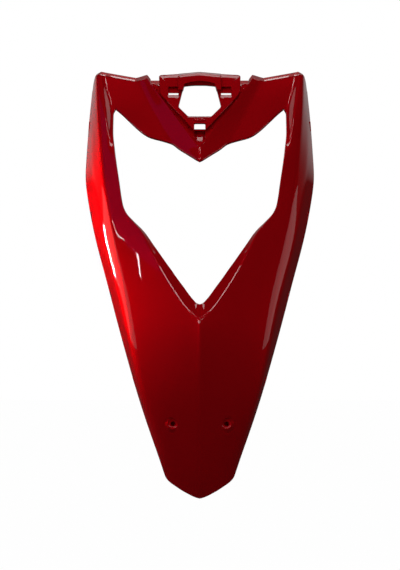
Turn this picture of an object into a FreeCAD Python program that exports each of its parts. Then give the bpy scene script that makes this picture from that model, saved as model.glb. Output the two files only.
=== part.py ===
"""Headlight fairing of a small scooter: one injection-moulded, painted plastic shell.

The shell is a long shield that ends in a blunt tip. Two arms rise from it round the headlight opening and carry
a brow of two folded wings. A sunken bay in the brow takes a centre trim piece.

Frame, in millimetres: X across, Z up the shield, -Y towards the road ahead. The origin is midway between the
two lower screw holes, on their seats.
"""

import FreeCAD
import Part
import os

Vector = FreeCAD.Vector
UP = Vector(0, 0, 1)
BACK = Vector(0, 1, 0)
PRISM_FRONT, PRISM_BACK = -100.0, 250.0

# Shell wall and the heights of its cross-sections
WALL = 2.8
LOWEST, HIGHEST = -140.0, 575.0
APRON_HEIGHTS = (LOWEST, -88, -26, 33, 94, 160, 218, 283)
STATIONS = (LOWEST, -105, -70, -30, 20, 70, 120, 162, 205, 245, 283, 320, 350, 385,
            410, 434, 458, 484, 510, 541, HIGHEST)

# Character lines of the right half: (height, x, y)
RIDGE = ((LOWEST, 0, 56), (-90, 0, 25), (-40, 0, 1), (39, 0, -29), (114, 0, -44), (162, 0, -46), (230, 0, -32),
         (310, 0, -2), (400, 0, 29), (434, 0, 42), (484, 0, 61), (541, 0, 85), (HIGHEST, 0, 100))
MAIN_CREASE = ((LOWEST, 36, 56), (-88, 47.5, 36), (-26, 65.5, 15), (33, 83, 7), (94, 97.5, 8), (160, 110.5, 16),
               (218, 121, 30), (283, 135, 48), (348, 147, 65), (415, 156.5, 84), (481, 164, 103), (548, 168.5, 124),
               (HIGHEST, 170, 132))
BAND_CREASE = ((LOWEST, 40, 59), (-88, 51, 39), (-26, 70, 20), (33, 89, 14), (94, 104, 17), (160, 118, 26),
               (218, 132.5, 43), (283, 150, 64), (348, 163, 85), (381, 169.5, 97), (415, 173, 110),
               (448, 174, 122), (481, 173.8, 133), (548, 172.3, 151), (HIGHEST, 172, 157))
REAR_EDGE = ((LOWEST, 43, 64), (-88, 54, 45), (-26, 74, 34), (33, 94, 40), (94, 112.5, 52), (160, 132, 74),
             (218, 148.5, 94), (283, 167, 114), (348, 181, 133), (381, 185.5, 142), (415, 185.3, 151),
             (448, 183.7, 158), (481, 181.5, 163), (548, 175.5, 170), (HIGHEST, 173.5, 171))

# Lines that lie on the flat of the apron low down and become folds of the arms and wings above it
ARM_EDGE = ((348, 127, 57), (415, 140, 78), (458, 146, 90), (541, 157.5, 122), (HIGHEST, 162, 135))
ARM_FOOT = ((348, 117, 53.3), (415, 135, 76.5), (434, 138.5, 85), (458, 141.5, 95), (484, 141.5, 107.5),
            (510, 146, 117), (541, 155, 124.5), (HIGHEST, 160, 137))
WING_FOLD = ((340, 42, 28), (400, 30, 43), (434, 47, 63), (484, 71, 91), (541, 98, 118), (HIGHEST, 113, 134))
BAY_EDGE = ((340, 10, 11), (400, 2, 30), (434, 6, 45), (484, 39, 73), (541, 79, 107), (HIGHEST, 101, 126))
FOOT_SHARE, EDGE_SHARE, FOLD_SHARE, BAY_SHARE = 0.77, 0.86, 0.45, 0.2
PANEL_BULGE = 4.5

# Setbacks of the rounded creases: (height, setback)
RIDGE_ROUND = ((LOWEST, 20), (-40, 14), (39, 9), (114, 5), (162, 3), (HIGHEST, 3))

# Headlight opening in the front view: the V below is (x, z, y of the shell, setback), the rest (x, z, setback)
LIP_DEPTH = ((LOWEST, 20), (185, 20), (225, 12), (260, 9), (HIGHEST, 9))
LIP_RISE = 0.86
V_EDGE = ((0, 157, -46, 3), (45, 220, -11, 10), (69, 257, 10, 8), (89, 291, 28, 6), (98, 308, 35, 4),
          (116, 335, 50, 6), (125, 373, 65, 8))
ARCH = ((112, 345, 1), (126.4, 385, 8), (133.5, 422, 10), (137.5, 455, 8), (138, 484, 3), (134.5, 494, 3),
        (112.8, 471.6, 6), (84, 443.5, 5), (55, 433.5, 5), (42, 428.8, 4), (16, 410, 6), (0, 399, 3))

# Silhouette that trims the tip and the top in the front view: (x, z, setback)
TRIM = ((0, -120.5, 6), (53.5, -89, 7), (84, -20, 1), (210, 200, 1), (210, 480, 1), (174.5, 536, 3), (173, 556, 6),
        (158, 558, 2), (98.5, 543.5, 3), (85.2, 548, 1.5), (85, 540.3, 1), (66.8, 540.2, 1), (64.9, 547, 1.5),
        (45, 550, 3), (0, 553, 5))

# Sloping strip along the top edge: (x, z, y) of its front edge
STRIP_RISE = 0.6
STRIP_DEPTH = 12.0
STRIP = ((230, 550, 128), (176, 550, 128), (157.5, 547.5, 124.5), (98.5, 535, 115), (86, 539.5, 110.5),
         (84.5, 532.5, 108.5), (67, 532.5, 108.5), (65, 539.5, 104.6), (36, 540.5, 104.6), (34.5, 541, 96),
         (0, 542, 96))

# Bay of the brow: outlines in the front view (x, z, setback), and planes that lean back with the brow
BAY = ((0, 421.6, 4), (97.6, 560, 1))
ISLAND = ((9, 452, 2), (65, 525.5, 4), (66.5, 560, 1))
HOOD = ((34, 522, 3), (34, 560, 1))
HEX = ((18.7, 472, 2), (32.4, 488, 3), (25.5, 526, 3), (10, 527.5, 4))
BAY_LEAN = 0.578
BAY_HEIGHT = 430.0
FLOOR_Y, ISLAND_Y, HOOD_Y = 49.0, 41.0, 32.0
BAY_DEPTH = ((LOWEST, 48), (HIGHEST, 48))
ISLAND_TOP, HOOD_TOP = 541.0, 545.0
WINDOW_HALF, WINDOW_LOW, WINDOW_HIGH = 8.2, 451.0, 461.6
SCOOP = ((8.2, 434.5, 8), (8.2, 451.5, 1))
SCOOP_DEPTH = 6.0
SLOT_IN, SLOT_OUT, SLOT_LOW, SLOT_HIGH = 33.8, 49.7, 509.0, 514.6
POCKET_HIGH, POCKET_DEPTH = 524.0, 5.0
SNAP_RIBS = ((70, 522), (56.5, 503), (40, 481), (19, 457))
SNAP_RIB = 3.0

# Lower screw seats
SCREW_HALF_PITCH = 40.7
SCREW_HOLE_R = 3.5
SEAT_R = 7.5
MOUTH_R, MOUTH_Y = 11.0, -14.0
MOUTH_OUT, MOUTH_DOWN = 5.0, 5.0
SEAT_REACH = ((LOWEST, 24), (HIGHEST, 24))

# Headlight screw bosses and rear tongues on the hidden side
LAMP_BOSSES = ((139, 352, 75), (106, 300, 50))
LAMP_BOSS_R, LAMP_PILOT_R, LAMP_BOSS_LONG, LAMP_PILOT_DEEP = 5.5, 1.9, 22.0, 14.0
TONGUES = (60, 190, 320, 470)
TONGUE_WIDE, TONGUE_LONG, TONGUE_THICK, TONGUE_INSET = 16.0, 11.0, 2.2, 0.4


def spline(knots):
    """A smooth curve through (height, x, y) knots whose parameter is the height."""
    curve = Part.BSplineCurve()
    points = [Vector(x, y, z) for z, x, y in knots]
    curve.interpolate(Points=points, Parameters=[float(z) for z, _, _ in knots])
    return curve


def panel_line(ridge, crease, share, upper):
    """A line at a fixed share of the bulged apron panel that runs on through the upper knots."""
    knots = []
    for z in APRON_HEIGHTS:
        point = ridge.value(z) + (crease.value(z) - ridge.value(z)) * share
        knots.append((z, point.x, point.y - 4 * PANEL_BULGE * share * (1 - share)))
    return spline(tuple(knots) + upper)


def character_lines():
    """The lines of the right half in order from the ridge to the rear edge."""
    ridge, crease = spline(RIDGE), spline(MAIN_CREASE)
    return (ridge, panel_line(ridge, crease, BAY_SHARE, BAY_EDGE), panel_line(ridge, crease, FOLD_SHARE, WING_FOLD),
            panel_line(ridge, crease, FOOT_SHARE, ARM_FOOT), panel_line(ridge, crease, EDGE_SHARE, ARM_EDGE),
            crease, spline(BAND_CREASE), spline(REAR_EDGE))


def level(table, height):
    """The value of a (height, value) table at a height, straight between entries."""
    for (low, first), (high, second) in zip(table, table[1:]):
        if height <= high:
            return first + (second - first) * (height - low) / (high - low)
    return table[-1][1]


def mirrored(half):
    """A symmetric row of points from its right half, which starts on the centre line."""
    return [Vector(-p.x, p.y, p.z) for p in reversed(half[1:])] + list(half)


def offset_points(points, distance, axis):
    """Polyline points moved sideways by a distance, mitred at the corners."""
    normals = [axis.cross(b - a).normalize() for a, b in zip(points, points[1:])]
    moved = [points[0] + normals[0] * distance]
    for point, before, after in zip(points[1:], normals, normals[1:]):
        moved.append(point + (before + after) * (distance / (1 + before.dot(after))))
    return moved + [points[-1] + normals[-1] * distance]


def rounded_edges(points, setbacks):
    """The edges of a polyline with a curve over the setback at each inner corner."""
    edges = []
    last = points[0]
    for before, corner, after, setback in zip(points, points[1:], points[2:], setbacks):
        if setback == 0:
            edges.append(Part.makeLine(last, corner))
            last = corner
            continue
        towards, onwards = before - corner, after - corner
        reach = min(setback, 0.45 * towards.Length, 0.45 * onwards.Length)
        start, end = corner + towards.normalize() * reach, corner + onwards.normalize() * reach
        curve = Part.BezierCurve()
        curve.setPoles([start, corner, end])
        edges += [Part.makeLine(last, start), curve.toShape()]
        last = end
    return edges + [Part.makeLine(last, points[-1])]


def section_wire(front, back, setbacks):
    """A closed cross-section between a front and a back row of points."""
    inside = rounded_edges(back[::-1], setbacks)
    return Part.Wire(rounded_edges(front, setbacks) + [Part.makeLine(front[-1], back[-1])] + inside
                     + [Part.makeLine(back[0], front[0])])


def shield(lines, inset, thickness, shift, low=LOWEST, high=HIGHEST):
    """A solid along the shell: from an inset behind its face, by a thickness and a shift table backwards."""
    wires = []
    for z in [z for z in STATIONS if low <= z <= high]:
        profile = mirrored([line.value(z) for line in lines])
        setbacks = [0] * (len(lines) - 2) + [level(RIDGE_ROUND, z)] + [0] * (len(lines) - 2)
        front = offset_points(profile, inset, UP)
        back = [p + BACK * level(shift, z) for p in offset_points(profile, inset + thickness, UP)]
        wires.append(section_wire(front, back, setbacks))
    return Part.makeLoft(wires, True, True)


def closed_wire(points, setbacks):
    """A closed wire round a polygon with rounded corners."""
    start = (points[-1] + points[0]) * 0.5
    return Part.Wire(rounded_edges([start] + points + [start], setbacks))


def ring(points, distance):
    """The points of a closed outline in the front view moved outwards by a distance."""
    around = [points[-1]] + points + [points[0]]
    return offset_points(around, distance, BACK)[1:-1]


def front_outline(half, grow=0.0):
    """Points and setbacks of a symmetric outline, anticlockwise in the front view, grown outwards."""
    both = list(half) + [(-x, z, s) for x, z, s in reversed(half) if x > 0]
    points = ring([Vector(x, 0, z) for x, z, _ in both], grow)
    return points, [s for _, _, s in both]


def prism(half, grow=0.0, rise=0.0):
    """A symmetric outline in the front view carried right through the shell, rising as it goes back."""
    points, setbacks = front_outline(half, grow)
    face = Part.Face(closed_wire(points, setbacks))
    course = BACK + UP * rise
    face.translate(course * PRISM_FRONT)
    return face.extrude(course * (PRISM_BACK - PRISM_FRONT))


def lean_slab(front, back):
    """The space between two planes that lean back with the brow, given by their y at the bay height."""
    low, high = 380.0, 600.0
    rise = [BAY_LEAN * (z - BAY_HEIGHT) for z in (low, high)]
    corners = [Vector(-130, front + rise[0], low), Vector(-130, front + rise[1], high),
               Vector(-130, back + rise[1], high), Vector(-130, back + rise[0], low)]
    return Part.Face(Part.makePolygon(corners + corners[:1])).extrude(Vector(260, 0, 0))


def v_outline():
    """The V of the headlight opening as drawn in the plane y = 0 and carried along the rising lip."""
    edge = tuple((x, z - LIP_RISE * y, setback) for x, z, y, setback in V_EDGE)
    top = V_EDGE[-1][1]
    return edge + ((V_EDGE[-1][0], top, 1), (0, top, 1))


def strip_outline(drop):
    """The space below the sloping top strip, drawn in the plane y = 0 and lowered by a drop."""
    top = tuple((x, z - STRIP_RISE * y - drop, 0) for x, z, y in STRIP)
    return ((230, -400, 0),) + top


def opening_cuts(grow):
    """The two bodies that clear the headlight opening, grown outwards."""
    arch = ((0, ARCH[0][1], 1),) + ARCH
    return [prism(v_outline(), grow, LIP_RISE), prism(arch, grow)]


def opening_lip(lines):
    """The lip that returns into the headlight opening all round."""
    core = shield(lines, WALL / 2, 0, LIP_DEPTH, 120)
    return [core.common(tool).cut(opening_cuts(0)) for tool in opening_cuts(WALL)]


def top_strip(lines):
    """The strip that slopes back from the top edge of the brow and arms."""
    core = shield(lines, WALL / 2, 0, ((LOWEST, STRIP_DEPTH), (HIGHEST, STRIP_DEPTH)), 484)
    return core.cut(prism(strip_outline(1.5 * WALL), 0, STRIP_RISE))


def box(x_low, x_high, z_low, z_high, front, back):
    """A block of the bay between two leaning planes."""
    block = Part.makeBox(x_high - x_low, 400, z_high - z_low, Vector(x_low, -100, z_low))
    return block.common(lean_slab(front, back))


def bay_block(lines):
    """The solid from which the bay is carved: from inside the wall back to the underside of the bay floor."""
    core = shield(lines, WALL / 2, 0, BAY_DEPTH, 385)
    block = core.common(prism(BAY, WALL)).common(lean_slab(-100, FLOOR_Y + WALL))
    scoop = prism(SCOOP, WALL).common(lean_slab(FLOOR_Y, FLOOR_Y + SCOOP_DEPTH + WALL))
    return [block, scoop]


def bay_pocket():
    """The groove round the island, with its snap ribs left standing."""
    island = prism(ISLAND).common(lean_slab(ISLAND_Y, 300))
    hood = prism(HOOD).common(lean_slab(HOOD_Y, 300))
    ribs = [box(side * x - SNAP_RIB, side * x + SNAP_RIB, z - SNAP_RIB / 2, z + SNAP_RIB / 2, ISLAND_Y + 3, 300)
            for x, z in SNAP_RIBS for side in (-1, 1)]
    return prism(BAY).common(lean_slab(-100, FLOOR_Y)).cut([island, hood] + ribs)


def bay_hollows():
    """The hollows behind the island and the hood, clear of the hexagon collar and the slot pockets."""
    back = FLOOR_Y + 20
    island = prism(ISLAND, -WALL).common(box(-90, 90, 400, ISLAND_TOP, ISLAND_Y + WALL, back))
    hood = prism(HOOD, -WALL).common(box(-90, 90, 400, HOOD_TOP, HOOD_Y + WALL, back))
    kept = [prism(HEX, WALL)]
    for side in (-1, 1):
        ends = sorted((side * (SLOT_IN - WALL), side * (SLOT_OUT + WALL)))
        kept.append(box(ends[0], ends[1], SLOT_LOW - WALL, POCKET_HIGH + WALL, ISLAND_Y, ISLAND_Y + POCKET_DEPTH + WALL))
    return island.fuse(hood).cut(kept)


def bay_openings():
    """The hexagon, the clip window with its scoop, and the slots with their pockets."""
    cuts = [prism(HEX), box(-WINDOW_HALF, WINDOW_HALF, WINDOW_LOW, WINDOW_HIGH, -100, 300)]
    cuts.append(prism(SCOOP).common(lean_slab(-100, FLOOR_Y + SCOOP_DEPTH)))
    for side in (-1, 1):
        ends = sorted((side * SLOT_IN, side * SLOT_OUT))
        cuts.append(box(ends[0], ends[1], SLOT_LOW, SLOT_HIGH, -100, 300))
        cuts.append(box(ends[0], ends[1], SLOT_HIGH - 1, POCKET_HIGH, -100, ISLAND_Y + POCKET_DEPTH))
    return cuts


def dish(side, grow):
    """The sunken dish of one lower screw, grown outwards."""
    seat = Part.makeCircle(SEAT_R + grow, Vector(side * SCREW_HALF_PITCH, grow, 0), BACK)
    mouth = Part.makeCircle(MOUTH_R + grow, Vector(side * (SCREW_HALF_PITCH + MOUTH_OUT), MOUTH_Y, -MOUTH_DOWN), BACK)
    return Part.makeLoft([Part.Wire(seat), Part.Wire(mouth)], True, True)


def screw_cups(lines):
    """The cups behind the two dishes."""
    core = shield(lines, WALL / 2, 0, SEAT_REACH, -70, 70)
    return [dish(side, WALL).common(core) for side in (-1, 1)]


def screw_cuts():
    """The dishes and their screw holes."""
    holes = [Part.makeCylinder(SCREW_HOLE_R, 40, Vector(side * SCREW_HALF_PITCH, -20, 0), BACK) for side in (-1, 1)]
    return [dish(side, 0) for side in (-1, 1)] + holes


def lamp_bosses(lines):
    """Screw bosses for the headlight behind the arms, with blind pilot holes from the back."""
    core = shield(lines, WALL / 2, 0, ((LOWEST, 80), (HIGHEST, 80)), 245, 385)
    bosses = []
    for x, z, y in LAMP_BOSSES:
        for side in (-1, 1):
            post = Part.makeCylinder(LAMP_BOSS_R, LAMP_BOSS_LONG + 30, Vector(side * x, y - 30, z), BACK).common(core)
            pilot = Part.makeCylinder(LAMP_PILOT_R, 30, Vector(side * x, y + LAMP_BOSS_LONG - LAMP_PILOT_DEEP, z), BACK)
            bosses.append(post.cut(pilot))
    return bosses


def tongues(lines):
    """Flat tongues that run back from the rear edge and slide into the neighbouring cover."""
    plates = []
    for z in TONGUES:
        end = lines[-1].value(z)
        corner = Vector(end.x - TONGUE_INSET - TONGUE_THICK, end.y - TONGUE_LONG, z - TONGUE_WIDE / 2)
        plate = Part.makeBox(TONGUE_THICK, 2 * TONGUE_LONG, TONGUE_WIDE, corner)
        plates += [plate, plate.mirror(Vector(0, 0, 0), Vector(1, 0, 0))]
    return plates


def build():
    """The whole fairing as one solid."""
    lines = character_lines()
    added = opening_lip(lines) + [top_strip(lines)] + bay_block(lines)
    added += screw_cups(lines) + lamp_bosses(lines) + tongues(lines)
    body = shield(lines, 0, WALL, ((LOWEST, 0), (HIGHEST, 0))).fuse(added)
    body = body.common(prism(TRIM))
    body = body.common(prism(strip_outline(0), 0, STRIP_RISE))
    for tool in opening_cuts(0) + [bay_pocket(), bay_hollows()]:
        body = body.cut(tool)
    return body.cut(bay_openings() + screw_cuts()).Solids[0]


if __name__ == "__main__":
    os.makedirs("parts", exist_ok=True)
    build().exportStep("parts/headlight_fairing.step")
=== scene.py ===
"""A scooter's headlight fairing in candy red paint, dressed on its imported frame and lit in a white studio."""

import logging
import math
from dataclasses import dataclass, field
from enum import Enum, IntEnum
from typing import Callable, Optional, Sequence, Union

import bpy
import numpy as np
from mathutils import Matrix, Vector
from mathutils.geometry import delaunay_2d_cdt


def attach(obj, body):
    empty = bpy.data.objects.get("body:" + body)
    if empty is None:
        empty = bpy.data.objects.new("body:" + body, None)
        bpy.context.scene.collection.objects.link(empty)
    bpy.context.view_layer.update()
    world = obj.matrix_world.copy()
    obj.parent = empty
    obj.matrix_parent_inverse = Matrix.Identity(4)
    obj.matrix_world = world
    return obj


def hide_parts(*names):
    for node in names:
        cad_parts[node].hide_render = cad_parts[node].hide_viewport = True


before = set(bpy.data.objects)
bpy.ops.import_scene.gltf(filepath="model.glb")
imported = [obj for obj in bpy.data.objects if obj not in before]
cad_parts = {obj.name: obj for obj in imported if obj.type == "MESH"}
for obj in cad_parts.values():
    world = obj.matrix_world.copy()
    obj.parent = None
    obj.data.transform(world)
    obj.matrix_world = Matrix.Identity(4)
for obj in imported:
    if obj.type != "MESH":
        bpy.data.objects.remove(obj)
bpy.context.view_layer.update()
LOG = logging.getLogger("fairing")
MM = 0.001
WALL = 2.8
BAY_LEAN = 0.578
BAY_FOOT = 430.0
BAY_FLOOR = 49.0
SCREW_HALF_PITCH = 40.7
SIDES = (1, -1)
SAME_PLACE = 1e-6
CORNER_STEPS = 9
LEAST_SETBACK = 0.05
Knots = Sequence[tuple[float, ...]]
Faces = list[tuple[int, ...]]


def straight(knots: Knots, where: np.ndarray) -> np.ndarray:
    """The value at each place on straight runs between (place, value) knots."""
    return np.interp(where, *np.array(knots).T)


def bay_depth(level: float, z: np.ndarray) -> np.ndarray:
    """The y at each height of a plane that leans back with the bay."""
    return level + BAY_LEAN * (z - BAY_FOOT)


def around(count: int) -> np.ndarray:
    """Angles of points spaced evenly round a ring."""
    return np.linspace(0, 2 * np.pi, count + 1)[:-1]


def corner_arc(first: np.ndarray, corner: np.ndarray, last: np.ndarray,
               shares: Sequence[float]) -> list[np.ndarray]:
    """Points at some shares of the way along the curve that rounds a corner."""
    return [first * (1 - t) ** 2 + corner * 2 * t * (1 - t) + last * t * t for t in shares]


class Curve:
    """A curve given by knots."""

    def __init__(self, knots: Knots) -> None:
        """Keep the knots.

        Args:
            knots: (place, value) pairs with rising places.
        """
        self.at, self.value = np.array(knots, float).T
        self.gap = np.diff(self.at)
        self.rise = np.diff(self.value) / self.gap

    def span(self, where: np.ndarray) -> tuple[np.ndarray, np.ndarray]:
        """Find the span between two knots that holds each place.

        Args:
            where: Places along the curve.

        Returns:
            The number of the span and the share of it that lies before the place.
        """
        i = np.clip(np.searchsorted(self.at, where) - 1, 0, len(self.gap) - 1)
        return i, (where - self.at[i]) / self.gap[i]


class Spline(Curve):
    """Smooth curve through its knots."""

    def __init__(self, knots: Knots) -> None:
        """Work out the bend at each knot.

        Args:
            knots: (place, value) pairs with rising places.
        """
        super().__init__(knots)
        count, gap = len(self.at), self.gap
        system, right = np.eye(count), np.zeros(count)
        for i in range(1, count - 1):
            system[i, i - 1:i + 2] = gap[i - 1], 2 * (gap[i - 1] + gap[i]), gap[i]
            right[i] = 6 * (self.rise[i] - self.rise[i - 1])
        self.bend = np.linalg.solve(system, right)

    def __call__(self, where: np.ndarray) -> np.ndarray:
        """Read the curve.

        Args:
            where: Places along the curve.

        Returns:
            The value at each place.
        """
        i, b = self.span(where)
        a = 1 - b
        bent = ((a ** 3 - a) * self.bend[i] + (b ** 3 - b) * self.bend[i + 1]) * self.gap[i] ** 2 / 6
        return a * self.value[i] + b * self.value[i + 1] + bent


class Eased(Curve):
    """Curve through its knots that never overshoots them."""

    def __init__(self, knots: Knots) -> None:
        """Work out the slope at each knot.

        Args:
            knots: (place, value) pairs with rising places.
        """
        super().__init__(knots)
        inner = [2 * a * b / (a + b) if a * b > 0 else 0.0 for a, b in zip(self.rise, self.rise[1:])]
        self.slope = np.array([self.rise[0]] + inner + [self.rise[-1]])

    def __call__(self, where: np.ndarray) -> np.ndarray:
        """Read the curve, level beyond its ends.

        Args:
            where: Places along the curve.

        Returns:
            The value at each place.
        """
        i, t = self.span(np.clip(where, self.at[0], self.at[-1]))
        ends = (1 + 2 * t) * (1 - t) ** 2 * self.value[i] + t * t * (3 - 2 * t) * self.value[i + 1]
        return ends + self.gap[i] * (t * (1 - t) ** 2 * self.slope[i] - t * t * (1 - t) * self.slope[i + 1])


LineCurves = tuple[Spline, Spline]


class Line(IntEnum):
    """The lines along the shell, from the ridge to the rear edge."""

    RIDGE = 0
    BAY_EDGE = 1
    WING_FOLD = 2
    ARM_FOOT = 3
    ARM_EDGE = 4
    CREASE = 5
    BAND = 6
    REAR = 7


@dataclass
class ShellForm:
    """Outer face of the shell as a depth over the front view, in millimetres.

    Each line is a row of (height, x, depth) knots on the right-hand side. The shares say where the four upper
    lines start on the apron panel, and the rounds are (height, width) knots of how softly each line folds.
    """

    ridge: Knots = ((-140, 0, 56), (-90, 0, 25), (-40, 0, 1), (39, 0, -29), (114, 0, -44), (162, 0, -46),
                    (230, 0, -32), (310, 0, -2), (400, 0, 29), (434, 0, 42), (484, 0, 61), (541, 0, 85),
                    (575, 0, 100))
    crease: Knots = ((-140, 36, 56), (-88, 47.5, 36), (-26, 65.5, 15), (33, 83, 7), (94, 97.5, 8),
                     (160, 110.5, 16), (218, 121, 30), (283, 135, 48), (348, 147, 65), (415, 156.5, 84),
                     (481, 164, 103), (548, 168.5, 124), (575, 170, 132))
    band: Knots = ((-140, 40, 59), (-88, 51, 39), (-26, 70, 20), (33, 89, 14), (94, 104, 17), (160, 118, 26),
                   (218, 132.5, 43), (283, 150, 64), (348, 163, 85), (381, 169.5, 97), (415, 173, 110),
                   (448, 174, 122), (481, 173.8, 133), (548, 172.3, 151), (575, 172, 157))
    rear: Knots = ((-140, 43, 64), (-88, 54, 45), (-26, 74, 34), (33, 94, 40), (94, 112.5, 52),
                   (160, 132, 74), (218, 148.5, 94), (283, 167, 114), (348, 181, 133), (381, 185.5, 142),
                   (415, 185.3, 151), (448, 183.7, 158), (481, 181.5, 163), (548, 175.5, 170),
                   (575, 173.5, 171))
    arm_edge: Knots = ((348, 127, 57), (415, 140, 78), (458, 146, 90), (541, 157.5, 122), (575, 162, 135))
    arm_foot: Knots = ((348, 117, 53.3), (415, 135, 76.5), (434, 138.5, 85), (458, 141.5, 95),
                       (484, 141.5, 107.5), (510, 146, 117), (541, 155, 124.5), (575, 160, 137))
    wing_fold: Knots = ((340, 42, 28), (400, 30, 43), (434, 47, 63), (484, 71, 91), (541, 98, 118),
                        (575, 113, 134))
    bay_edge: Knots = ((340, 10, 11), (400, 2, 30), (434, 6, 45), (484, 39, 73), (541, 79, 107),
                       (575, 101, 126))
    shares: tuple[float, ...] = (0.2, 0.45, 0.77, 0.86)
    bulge: float = 4.5
    bay_least: float = 1.0
    wing_least: float = 2.0
    run_least: float = 0.5
    normal_step: float = 0.05
    apron_heights: tuple[float, ...] = (-140, -88, -26, 33, 94, 160, 218, 283)
    lines: list[LineCurves] = field(default_factory=list)
    rounds: tuple[Knots, ...] = (
        ((-140, 16), (-40, 11), (39, 6), (114, 3), (162, 2), (575, 2)),
        ((-140, 25), (283, 25), (400, 3), (575, 3)),
        ((-140, 25), (283, 25), (400, 3.5), (575, 3.5)),
        ((-140, 25), (283, 25), (434, 5), (458, 2.2), (575, 2.2)),
        ((-140, 25), (283, 25), (434, 4), (458, 1.5), (575, 1.5)),
        ((-140, 9), (-26, 7), (33, 3.5), (575, 2.5)),
        ((-140, 6), (-26, 5), (33, 3), (575, 3)))

    def __post_init__(self) -> None:
        """Lay the lines that run on from the apron panel, and all the curves."""
        ridge, crease = self.curves(self.ridge), self.curves(self.crease)
        self.lines = [ridge]
        for share, upper in zip(self.shares, (self.bay_edge, self.wing_fold, self.arm_foot, self.arm_edge)):
            self.lines.append(self.curves([*self.on_panel(ridge, crease, share), *upper]))
        self.lines += [crease, self.curves(self.band), self.curves(self.rear)]

    @staticmethod
    def curves(knots: Knots) -> LineCurves:
        """The x curve and the depth curve of one line."""
        return Spline([(k[0], k[1]) for k in knots]), Spline([(k[0], k[2]) for k in knots])

    def on_panel(self, ridge: LineCurves, crease: LineCurves, share: float) -> Knots:
        """Knots at one share of the bulged apron panel.

        Args:
            ridge: Curves of the ridge.
            crease: Curves of the main crease.
            share: Share of the way from the ridge to the crease.

        Returns:
            (height, x, depth) knots up the apron.
        """
        knots = []
        for z in self.apron_heights:
            x = float(ridge[0](z) + (crease[0](z) - ridge[0](z)) * share)
            y = float(ridge[1](z) + (crease[1](z) - ridge[1](z)) * share)
            knots.append((z, x, y - 4 * self.bulge * share * (1 - share)))
        return knots

    def depth(self, x: np.ndarray, z: np.ndarray) -> np.ndarray:
        """Depth of the outer face.

        Args:
            x: Places across.
            z: Heights.

        Returns:
            The y of the face at each place.
        """
        across = np.abs(x)
        xs = [line[0](z) for line in self.lines]
        ys = [line[1](z) for line in self.lines]
        xs[Line.BAY_EDGE] = np.maximum(xs[Line.BAY_EDGE], self.bay_least)
        xs[Line.WING_FOLD] = np.maximum(xs[Line.WING_FOLD], xs[Line.BAY_EDGE] + self.wing_least)
        slopes = [(y1 - y0) / np.maximum(x1 - x0, self.run_least)
                  for x0, x1, y0, y1 in zip(xs, xs[1:], ys, ys[1:])]
        widths = [straight(knots, z) for knots in self.rounds]
        result = ys[0] + slopes[0] * np.sqrt(across ** 2 + widths[0] ** 2)
        for i in range(1, len(slopes)):
            over = across - xs[i]
            result = result + (slopes[i] - slopes[i - 1]) * 0.5 * (over + np.sqrt(over ** 2 + widths[i] ** 2))
        return result

    def normal(self, x: np.ndarray, z: np.ndarray) -> np.ndarray:
        """Unit normals of the outer face.

        Args:
            x: Places across.
            z: Heights.

        Returns:
            The normal at each place, pointing out of the shell.
        """
        step = self.normal_step
        along_x = (self.depth(x + step, z) - self.depth(x - step, z)) / (2 * step)
        along_z = (self.depth(x, z + step) - self.depth(x, z - step)) / (2 * step)
        normals = np.stack([along_x, -np.ones_like(along_x), along_z], axis=-1)
        return normals / np.linalg.norm(normals, axis=-1, keepdims=True)


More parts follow.
